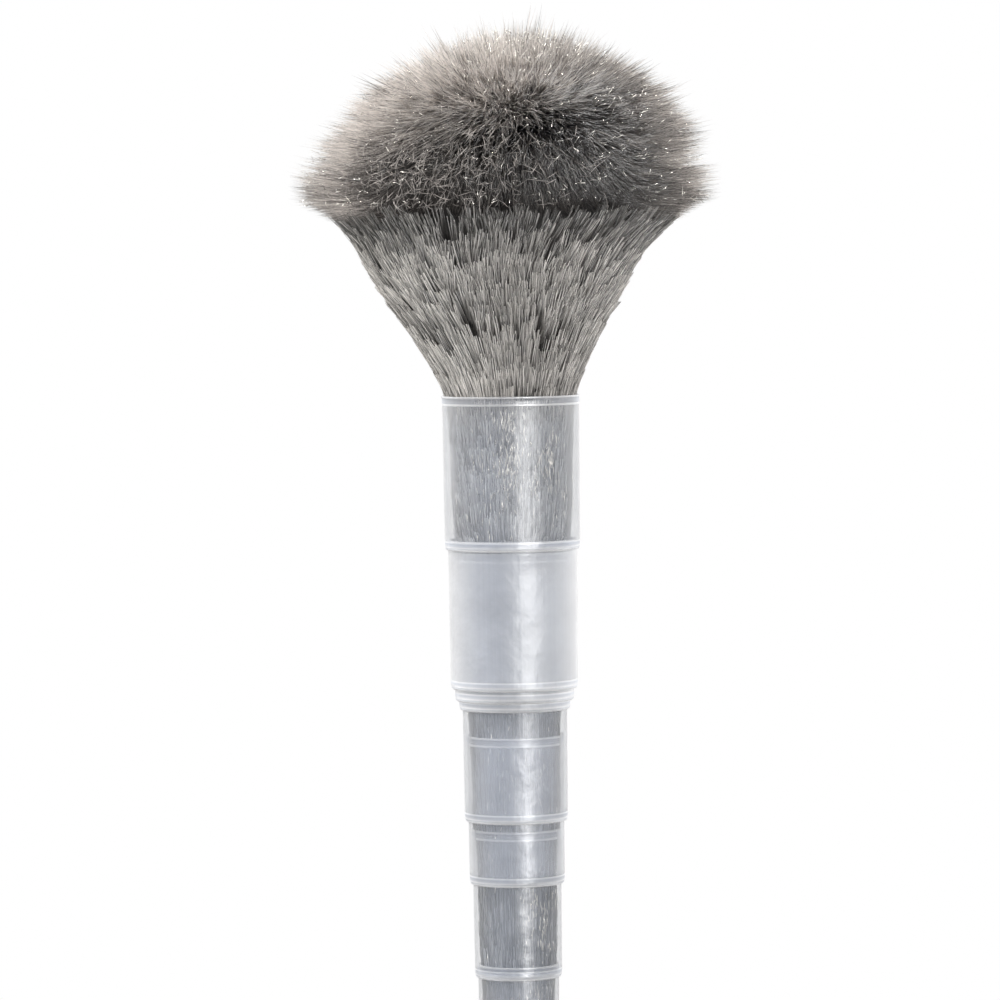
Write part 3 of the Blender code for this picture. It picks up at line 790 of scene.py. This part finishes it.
def tapeTier(tier, seed, material):
    shape = tapeShape
    node, (low, high), clumps, tierWidth, tierLength, tierDepth = tier
    rng = np.random.default_rng(seed)
    size = rng.integers(*shape["clumpSizes"], clumps)
    which = np.repeat(np.arange(clumps), size)
    count = len(which)
    place = np.concatenate([np.arange(each) - (each - 1) / 2 for each in size])
    clumpAngle = rng.uniform(0, math.tau, clumps)
    clumpTip = low + (high - low) * rng.uniform(0, 1, clumps) ** shape["tipCrowding"]
    clumpTone = rng.normal(0.5, shape["clumpTones"], clumps)
    clumpDrift = rng.normal(0, shape["clumpDrift"], clumps)
    clumpDepth = rng.uniform(*shape["depths"], clumps)
    tipHeight = clumpTip[which] + rng.normal(0, shape["tipJitter"], count)
    spread = (place + rng.normal(0, shape["spreadJitter"], count)) * tierWidth * mm * shape["spread"]
    angle = clumpAngle[which] + spread / fibreRadius(tipHeight)
    length = tierLength * mm * rng.uniform(*shape["lengths"], count)
    depth = tierDepth * mm * clumpDepth[which]
    lift = np.clip(rng.normal(0, shape["lift"], count), -shape["liftMost"], shape["liftMost"])
    drift = clumpDrift[which] + rng.normal(0, shape["drift"], count)
    loose = (rng.uniform(0, 1, clumps) < looseTapes["share"]) * rng.uniform(0, looseTapes["by"], clumps)
    loose = loose[which] * rng.uniform(*looseTapes["each"], count)
    loose *= ramp(tipHeight - mouthTop, looseTapes["from"], looseTapes["over"])
    ends = []
    for along in (0, 0.5, 1):  # root, middle and tip
        height = np.maximum(tipHeight - length * (1 - along), bundleFoot)
        flare = np.clip((height - coneFlare["from"]) / coneFlare["over"], 0, coneFlare["most"])
        radius = fibreRadius(height) + lift * (1 + shape["flareLift"] * flare) - depth * (1 - along) - shape["under"]
        radius += flare ** coneFlare["power"] * coneFlare["by"] + loose * along ** 2
        point = polar(angle + drift * (along * 2 - 1), radius, height)
        point[:, 0] += headLean(height)
        ends.append(point)
    control = np.stack(ends, 1)
    control[:, 1] = 2 * control[:, 1] - (control[:, 0] + control[:, 2]) / 2  # so that the tape meets it
    facing = polar(angle + rng.normal(0, shape["twist"], count), np.ones(count), np.zeros(count))
    width = tierWidth * mm * rng.uniform(*shape["widths"], count)
    tone = clumpTone[which] - 0.5 + rng.normal(0, shape["tones"], count)
    inSleeve = tipHeight < mouthTop - sleeveCalm["below"]
    tone = np.where(inSleeve, sleeveCalm["tone"] + tone * sleeveCalm["share"], 0.5 + tone)
    meet = (tipHeight - tierMeet["height"]) / tierMeet["over"]
    if material == coneFibre:
        tone -= np.clip(1 - meet, 0, 1) * tierMeet["by"]
    else:
        tone += np.clip(1 + meet, 0, 1) * tierMeet["by"]
    # painted shade under the puff's overhang
    tone -= ramp(tipHeight, paintedConeShade["from"], paintedConeShade["over"]) * paintedConeShade["by"]
    cool = ramp(mouthTop - tipHeight, 0, coolOver)
    layFibres(node + "Tapes", control, width, facing, np.clip(tone, *toneRange), tapeLook, rng, material, node,
              cool=cool)
    return count


tapeCount = 0
for index, tier in enumerate(tapeTiers):
    tapeCount += tapeTier(tier, 40 + index, coneFibre if tier[0].startswith("flare") else bundleFibre)
print("bundle and cone laid with", tapeCount, "tapes")


# The puff: tufts of fine strands that fan out of its middle, bend over and droop at the rim
puffLook = {**tapeLook, "turn": 0.5, "blunt": False, "curl": 1.1 * mm, "taper": 0.65, "taperPower": 1.6, "flat": 1.0}
puffTiers = [  # polar angles in degrees from straight up
    {"node": "puff_crown", "angles": (0, 48), "tufts": 2000, "layers": 1, "seed": 72},
    {"node": "puff_middle", "angles": (48, 76), "tufts": 1600, "layers": 2, "seed": 75},
    {"node": "puff_skirt", "angles": (76, 112), "tufts": 1800, "layers": 2, "seed": 80},
]
puffShape = {
    "tuftSize": 6,
    "tuftSpread": 1.15 * mm,
    "rootSpread": 1.2 * mm,
    "rootWander": 0.3,
    "wander": 1.7 * mm,
    "swing": 4.2 * mm,  # how far a whole tuft leans sideways
    "swingBend": 0.2,
    "arch": 7.5 * mm,
    "archOut": 0.5,
    "width": 0.47 * mm,
    "widths": (0.6, 1.3),
    "trials": 6,  # how many spots each tuft is chosen from
    "rimAngle": math.radians(96),  # the tufts crowd within rimBand of it
    "rimBand": 0.15,
    "rimCrowd": 1.2,
    "tuftDepth": (0.84, 0.17),  # the nearest tip to the middle, and how much further the others reach
    "tuftCrowding": 2.2,  # towards the furthest
    "depths": (0.94, 1.01),
    "wispShare": 0.05,
    "wispFrom": 0.4,  # of the way up
    "wispOver": 0.5,
    "wisp": 0.13,  # how far the longest tufts on top stand out
    "droops": (0.3, 0.95),
    "droopWaves": ((0.22, 3, 1), (0.2, 8, 2)),  # how much, how many round the rim, and turned by
    "frontDroop": 0.6,
    "fanHeight": 20 * mm,  # of the strands' roots, above the puff's middle
    "fanShare": 0.16,
    "sideHeight": 3 * mm,  # the same for the strands of the side lobes, which lie level
    "sideShare": 0.4,
    "sideSag": 3 * mm,
    "sideLowest": -8 * mm,
    "sideFrom": 58,  # degrees
    "sideOver": 26,
    "sideJitter": 0.8 * mm,
    "rootShare": 0.36,
    "partRoots": 0.14,
    "partHeight": 19 * mm,  # of the parting across the front, above the puff's middle
    "partSlope": 0.26,
    "partReach": 12.5 * mm,
    "partPush": 8.0 * mm,
    # painted shade: strands near the parting across the front are darker, as in its crease
    "paintedPartShade": 0.4,
    "partAbove": 0.35,  # the share of it above the parting
    "partAngle": math.radians(58),
    "partFade": 1.6,
    "reach": 76.0 * mm,  # no tip is further out
    "lowest": -9 * mm,
    "lowestJitter": 1.2 * mm,
    "underFrom": -3.0 * mm,  # below this height the puff's edge slopes in to the cone
    "underSlope": 1.9,
    "underReach": 72.0 * mm,
    "underJitter": 0.8 * mm,
    "tangleHeight": 7 * mm,
    "tangleOver": 13 * mm,
    "tangleRight": 0.45,  # how much weaker it is to the right
    "tangleRightOver": 25 * mm,
    "tangleSink": 0.09,
    "tangleLoose": {"wander": 1.6, "swing": 1.2, "spread": 1.8},
    # painted shade: the tangle at the front of the puff is darker
    "paintedTangleShade": 0.86,
    "paintedSideShade": 0.48,  # painted shade: the right lobe's front is darker, as if less light fell on it
    "paintedSideShadeOver": 45 * mm,
    "paintedLeftShade": 0.1,  # painted shade: the left lobe's end is a little darker, to tone down its highlight
    "leftFrom": 30 * mm,
    "leftOver": 30 * mm,
    # painted shade: strands that end low, on the puff's underside, are darker
    "paintedLowShade": 0.33,
    "lowFrom": 6 * mm,
    "lowOver": 12 * mm,
    "tuftTones": 0.17,
    "tones": 0.2,
}
puffMiddle = mouthTop + headRise * headShape["puffMiddleShare"]


def puffDistance(polarAngle):
    out, up = np.sin(polarAngle), np.cos(polarAngle)
    power, outShare = headShape["puffPower"], out / headShape["puffRadius"]
    above = (outShare ** power + (np.abs(up) / headShape["puffHeight"]) ** power) ** (-1 / power)
    below = (outShare ** 2 + (up / headShape["puffDepth"]) ** 2) ** -0.5
    return np.where(up > 0, above, below)


def outwardAt(polarAngle, angle):
    return polar(angle, np.sin(polarAngle), np.cos(polarAngle))


def levelled(vectors, outward, share=1.0):  # takes away what points outward
    return vectors - (vectors * outward).sum(1, keepdims=True) * outward * share


def tuftShift(rng, tufts, by, most=2):  # a random move for each tuft, and none is far off
    return np.clip(rng.normal(0, 1, (tufts, 3)), -most, most) * by


def puffTier(tier, seed, suffix):
    shape, tufts = puffShape, tier["tufts"]
    rng = np.random.default_rng(seed)
    low, high = (math.radians(angle) for angle in tier["angles"])
    spots = rng.uniform(low, high, tufts * shape["trials"])
    rim = np.abs(spots - shape["rimAngle"]) < shape["rimBand"]
    weight = np.sin(spots) * puffDistance(spots) ** 2 * (1 + shape["rimCrowd"] * rim)
    tuftPolar = rng.choice(spots, tufts, p=weight / weight.sum())
    tuftAngle = rng.uniform(0, math.tau, tufts)
    tuftWander = tuftShift(rng, tufts, shape["wander"])
    tuftTone = rng.normal(0.5, shape["tuftTones"], tufts)
    tuftSwing = levelled(tuftShift(rng, tufts, shape["swing"]), outwardAt(tuftPolar, tuftAngle))
    which = np.repeat(np.arange(tufts), shape["tuftSize"])
    count = len(which)
    polarAngle, angle = tuftPolar[which], tuftAngle[which]
    nearest, further = shape["tuftDepth"]
    distance = puffDistance(polarAngle) * (nearest + further * rng.beta(shape["tuftCrowding"], 1, tufts)[which])
    distance *= rng.uniform(*shape["depths"], count)
    wisp = (rng.uniform(0, 1, tufts) < shape["wispShare"]) * rng.uniform(0, shape["wisp"], tufts)
    distance *= 1 + wisp[which] * ramp(np.cos(polarAngle), shape["wispFrom"], shape["wispOver"])
    out, up = distance * np.sin(polarAngle), distance * np.cos(polarAngle)
    partEnd = math.cos(shape["partAngle"])
    front = np.maximum(0, np.cos(angle + math.pi / 2) - partEnd)
    front = np.minimum(1, front / (1 - partEnd) * shape["partFade"])
    aside = out * np.cos(angle)
    offset = up - shape["partHeight"] - shape["partSlope"] * aside
    near = np.maximum(0, 1 - np.abs(offset) / shape["partReach"]) * front
    up = up + np.sign(offset) * near * shape["partPush"]
    droop = rng.uniform(*shape["droops"], tufts)[which]
    droop *= 1 + sum(much * np.sin(waves * angle + turned) for much, waves, turned in shape["droopWaves"])
    up = np.where(up < 0, up * (1 - shape["frontDroop"] * front) * droop, up)
    side = ramp(np.degrees(polarAngle), shape["sideFrom"], shape["sideOver"]) * (1 - front)
    sideLowest = shape["sideLowest"] + rng.normal(0, shape["sideJitter"], count)
    up = np.where(side > 0.5, np.maximum(up, sideLowest), up)
    tangle = front * np.exp(-((up - shape["tangleHeight"]) / shape["tangleOver"]) ** 2)
    tangle *= 1 - shape["tangleRight"] * ramp(aside, 0, shape["tangleRightOver"])
    looser = {name: 1 + by * tangle[:, None] for name, by in shape["tangleLoose"].items()}
    tip = polar(angle, out * (1 - shape["tangleSink"] * tangle), puffMiddle + up)
    tip += tuftWander[which] * looser["wander"] + tuftSwing[which] * looser["swing"]
    tip += rng.normal(0, 1, (count, 3)) * shape["tuftSpread"] * looser["spread"]
    lowest = puffMiddle + shape["lowest"] + rng.normal(0, shape["lowestJitter"], count)
    tip[:, 2] = np.maximum(tip[:, 2], lowest)
    below = np.minimum(0, tip[:, 2] - puffMiddle - shape["underFrom"])
    reach = np.where(below < 0, shape["underReach"] + shape["underSlope"] * below, shape["reach"])
    reach += rng.normal(0, shape["underJitter"], count) * (below < 0)
    tip[:, :2] *= np.minimum(1, reach / np.hypot(tip[:, 0], tip[:, 1]))[:, None]
    rootOut = out * (shape["rootShare"] - shape["partRoots"] * near)
    rootUp = shape["fanHeight"] + shape["fanShare"] * (up - shape["fanHeight"])
    sideUp = shape["sideHeight"] + shape["sideShare"] * (up - shape["sideHeight"])
    rootUp += (sideUp - rootUp) * side
    root = polar(angle, rootOut, puffMiddle + rootUp)
    root += tuftWander[which] * shape["rootWander"] + rng.normal(0, 1, (count, 3)) * shape["rootSpread"]
    arch = shape["arch"] * np.sin(polarAngle) ** 2 * (1 - side) - shape["sideSag"] * side
    bend = (root + tip) / 2 + polar(angle, arch * shape["archOut"], arch) - tuftSwing[which] * shape["swingBend"]
    control = np.stack([root, bend, tip], 1)
    control[:, :, 0] += headLean(control[:, :, 2])
    facing = rng.normal(0, 1, (count, 3))
    width = shape["width"] * rng.uniform(*shape["widths"], count)
    # painted shade in the front tangle
    tone = tuftTone[which] + rng.normal(0, shape["tones"], count) - shape["paintedTangleShade"] * tangle
    # painted shade on the right lobe's front
    tone -= ramp(aside, 0, shape["paintedSideShadeOver"]) * np.clip(-np.sin(angle), 0, 1) ** 0.5 * shape["paintedSideShade"]
    # painted shade on the puff's underside
    tone -= ramp(shape["lowFrom"] - up, 0, shape["lowOver"]) * shape["paintedLowShade"]
    # painted shade in the parting's crease
    tone -= near * shape["paintedPartShade"] * np.where(offset > 0, shape["partAbove"], 1)
    # painted shade on the left lobe's end
    tone -= ramp(-aside, shape["leftFrom"], shape["leftOver"]) * shape["paintedLeftShade"]
    layFibres(tier["node"] + "Strands" + suffix, control, width, facing, np.clip(tone, *toneRange), puffLook, rng,
              puffFibre, tier["node"])
    return count


strandCount = 0
for tier in puffTiers:
    for layer in range(tier["layers"]):
        strandCount += puffTier(tier, tier["seed"] + layer, "AB"[layer])
print("puff laid with", strandCount, "strands")


# Loose hairs that cross over the others in the tangle at the front of the puff
strayLook = {**puffLook, "rings": 5, "curl": 0.3 * mm, "curlTurns": 0.8, "taper": 0.5, "taperPower": 1.5}
strayShape = {
    "count": 860,
    "length": 4.2 * mm,
    "lengthSpread": 0.4,
    "width": 0.21 * mm,
    "widths": (0.6, 1.2),
    "bow": 1.9 * mm,
    "bows": (-0.5, 1.2),
    "turned": -0.34,  # from the front, to the left
    "around": 0.36,
    "aroundMost": (-0.6, 0.85),
    "down": (82, 7),  # degrees from straight up, and their spread
    "depths": (0.8, 0.95),
    "lowest": -4 * mm,
    "levelled": 0.85,
    "tones": (0.2, 1.2),
}


# Where a hair or a spark lies under the puff's outline
def inPuff(polarAngle, angle, depth, lowest):
    distance = puffDistance(polarAngle) * depth
    return polar(angle, distance * np.sin(polarAngle), puffMiddle + np.maximum(distance * np.cos(polarAngle), lowest))


def layShort(name, middle, along, bow, width, tone, look, material, rng):
    control = np.stack([middle - along / 2, middle + bow, middle + along / 2], 1)
    control[:, :, 0] += headLean(control[:, :, 2])
    layFibres(name, control, width, rng.normal(0, 1, (len(middle), 3)), tone, look, rng, material)


def addStrays(shape):
    rng = np.random.default_rng(90)
    count = shape["count"]
    angle = -math.pi / 2 + shape["turned"] + np.clip(rng.normal(0, shape["around"], count), *shape["aroundMost"])
    polarAngle = np.radians(rng.normal(*shape["down"], count))
    middle = inPuff(polarAngle, angle, rng.uniform(*shape["depths"], count), shape["lowest"])
    outward = outwardAt(polarAngle, angle)
    along = levelled(rng.normal(0, 1, (count, 3)), outward, shape["levelled"])
    along /= np.linalg.norm(along, axis=1, keepdims=True)
    along *= shape["length"] * np.exp(rng.normal(0, shape["lengthSpread"], (count, 1)))
    bow = outward * shape["bow"] * rng.uniform(*shape["bows"], (count, 1))
    tone = rng.uniform(*shape["tones"], count)
    width = shape["width"] * rng.uniform(*shape["widths"], count)
    layShort("strayHairs", middle, along, bow, width, tone, strayLook, puffFibre, rng)


addStrays(strayShape)


# Sparks: short pale, metallic lengths of strand all over the puff, painted glints where the strands catch the light
sparkLook = {**tapeLook, "turn": 0.5, "curl": 0.1 * mm, "taper": 0.3, "flat": 0.6}
sparkShape = {
    "count": 2400,
    "length": 2.7 * mm,
    "lengths": (0.4, 1.4),
    "width": 0.32 * mm,
    "widths": (0.6, 1.2),
    "down": (8, 96),  # degrees from straight up
    "depths": (0.84, 0.97),
    "lowest": -3 * mm,
    "wander": 0.45,
    "tones": (0.1, 1.6),
}


def addSparks(shape):
    rng = np.random.default_rng(92)
    count = shape["count"]
    polarAngle = np.radians(rng.uniform(*shape["down"], count))
    angle = rng.uniform(0, math.tau, count)
    middle = inPuff(polarAngle, angle, rng.uniform(*shape["depths"], count), shape["lowest"])
    along = outwardAt(polarAngle, angle) + rng.normal(0, shape["wander"], (count, 3))
    length = shape["length"] * rng.uniform(*shape["lengths"], (count, 1))
    along *= length / np.linalg.norm(along, axis=1, keepdims=True)
    width = shape["width"] * rng.uniform(*shape["widths"], count)
    tone = rng.uniform(*shape["tones"], count)
    layShort("puffSparks", middle, along, 0, width, tone, sparkLook, paintedGlintFibre, rng)


addSparks(sparkShape)


# Painted glints: short pale, metallic strands where the bundle's fibres lie against the sleeves
glintLook = {**tapeLook, "curl": 0.04 * mm, "taper": 0.3, "flat": 0.4}
glintShape = {
    "count": 560,
    "perCluster": 9,
    "clusterHeight": 5 * mm,
    "clusterTurn": 0.2,
    "heights": (0.142, 0.376),
    "length": 2.6 * mm,
    "lengths": (0.3, 1.5),
    "slant": 0.009,
    "twist": 0.2,
    "width": 0.32 * mm,
    "widths": (0.6, 1.3),
    "tones": (0.1, 2.2),
    "proud": 0.3 * mm,
}
glintPatches = [  # degrees from the front, height, spread across and along, how many
    (-5, 0.3730, 2.4, 3.0, 44), (-6, 0.3610, 4.2, 5.5, 80), (-2, 0.3520, 2.6, 4.0, 40), (38, 0.3600, 2.0, 4.5, 52),
    (-34, 0.3560, 1.6, 5.0, 14), (25, 0.3530, 2.2, 4.0, 22), (-20, 0.3420, 3.0, 5.0, 16), (40, 0.1960, 1.6, 8.0, 40),
    (20, 0.2040, 2.4, 6.0, 26), (28, 0.1720, 3.0, 3.0, 30), (4, 0.2780, 4.0, 1.6, 30), (34, 0.2480, 2.2, 5.0, 20),
]


def addGlints(shape):
    rng = np.random.default_rng(95)
    count = shape["count"]
    clusters = count // shape["perCluster"]
    low, high = shape["heights"]
    cluster = rng.integers(0, clusters, count)
    height = rng.uniform(low, high, clusters)[cluster] + rng.normal(0, shape["clusterHeight"], count)
    height = np.clip(height, low, high)
    angle = rng.uniform(0, math.tau, clusters)[cluster] + rng.normal(0, shape["clusterTurn"], count)
    for degrees, middle, across, along, many in glintPatches:
        patch = rng.normal(middle, along * mm, many)
        height = np.append(height, np.clip(patch, low, high))
        turned = math.radians(degrees) + rng.normal(0, across * mm / fibreRadius(middle), many)
        angle = np.append(angle, turned - math.pi / 2)
    count = len(height)
    length = shape["length"] * rng.uniform(*shape["lengths"], count)
    slant = rng.normal(0, shape["slant"], count)
    ends = []
    for step in (-1, 0, 1):
        at = height + length * step / 2
        ends.append(polar(angle + slant * step, fibreRadius(at) + shape["proud"], at))
    facing = polar(angle + rng.normal(0, shape["twist"], count), np.ones(count), np.zeros(count))
    tone = rng.uniform(*shape["tones"], count)
    width = shape["width"] * rng.uniform(*shape["widths"], count)
    layFibres("bundleGlints", np.stack(ends, 1), width, facing, tone, glintLook, rng, paintedGlintFibre)


addGlints(glintShape)
print("loose hairs laid")


# The imported roots that the tapes and strands grow out of. Their dark colour is painted shade deep among the fibres
rootsLook = {"across": 1500.0, "along": 40.0, "depth": 0.6, "pattern": "Lines", "shades": (0.5, 1.6),
             "roughness": 0.7, "metallic": 0.0}
heartShape = {
    "segments": 64,
    "bundleRings": 26,
    "coneRings": 14,
    "puffRings": 22,
    "bundleShadeColour": (0.13, 0.125, 0.117),
    "puffShadeColour": (0.045, 0.042, 0.039),
    "bore": 3.2 * mm,
    "under": 2.4 * mm,
    "underCone": 3.2 * mm,
    "coneTop": 0.436,
    "closing": ((0.6, 0.449), (0.9, 0.444)),  # shares of the cone's last radius, and their heights
    "boreTop": 0.45,
    "puffShare": 0.5,
    "puffDown": (4, 108),  # degrees from straight up
    "puffBore": 5.2 * mm,
    "boreSink": 4 * mm,  # of the bore's upper end, below the puff's
}


def addHearts(shape):
    lower = np.linspace(bundleFoot, mouthTop, shape["bundleRings"])
    upper = np.linspace(mouthTop, shape["coneTop"], shape["coneRings"])
    heights = np.concatenate([lower, upper[1:]])
    outer = [(fibreRadius(height) - shape["under" if height < mouthTop else "underCone"], height)
             for height in heights[::-1]]
    outline = [(outer[0][0] * share, height) for share, height in shape["closing"]] + outer
    outline += [(shape["bore"], heights[0]), (shape["bore"], shape["boreTop"])]
    hearts = [("bundleHeart", outline, linedMaterial("packedRoots", shape["bundleShadeColour"], rootsLook))]
    outline = []
    for polarAngle in np.linspace(*np.radians(shape["puffDown"]), shape["puffRings"]):
        distance = puffDistance(polarAngle) * shape["puffShare"]
        outline.append((distance * math.sin(polarAngle), puffMiddle + distance * math.cos(polarAngle)))
    outline += [(shape["puffBore"], outline[-1][1]), (shape["puffBore"], outline[0][1] - shape["boreSink"])]
    hearts.append(("puffHeart", outline, linedMaterial("puffRoots", shape["puffShadeColour"], rootsLook)))
    for name, outline, material in hearts:
        mesh = turnedMesh(name, outline, shape["segments"])
        gathered(addPiece(name, mesh, headBody, material, "head_fibre"))


addHearts(heartShape)
print("packed roots turned")


# The CAD's own solids that stay in view, with materials of their own
steelLook = {"across": 1200.0, "along": 300.0, "depth": 0.2, "pattern": "Clouds", "shades": (0.8, 1.0),
             "roughness": 0.35, "metallic": 1.0}
greyLook = {"colour": (0.62, 0.64, 0.68), "grain": 2600.0, "depth": 0.25, "gloss": 0.42, "wear": 0.3}
socketLook = {"colour": (0.5, 0.52, 0.55), "grain": 2600.0, "depth": 0.2, "gloss": 0.5, "wear": 0.2}
steel = linedMaterial("wireSteel", (0.56, 0.57, 0.58), steelLook)
greyPlastic = plasticMaterial("handlePlastic", greyLook)
socketPlastic = plasticMaterial("socketPlastic", socketLook)
carried = {
    "cross_pin": steel, "core_wire_a": steel, "core_wire_b": steel,
    "core_socket": socketPlastic, "core_tip_cap": socketPlastic,
    "stop_collar": greyPlastic, "handle_grip": greyPlastic, "handle_end_cap": greyPlastic,
}
for name, material in carried.items():
    node = frame["nodes"][name]
    node.data.materials.clear()
    node.data.materials.append(material)
print("materials set")
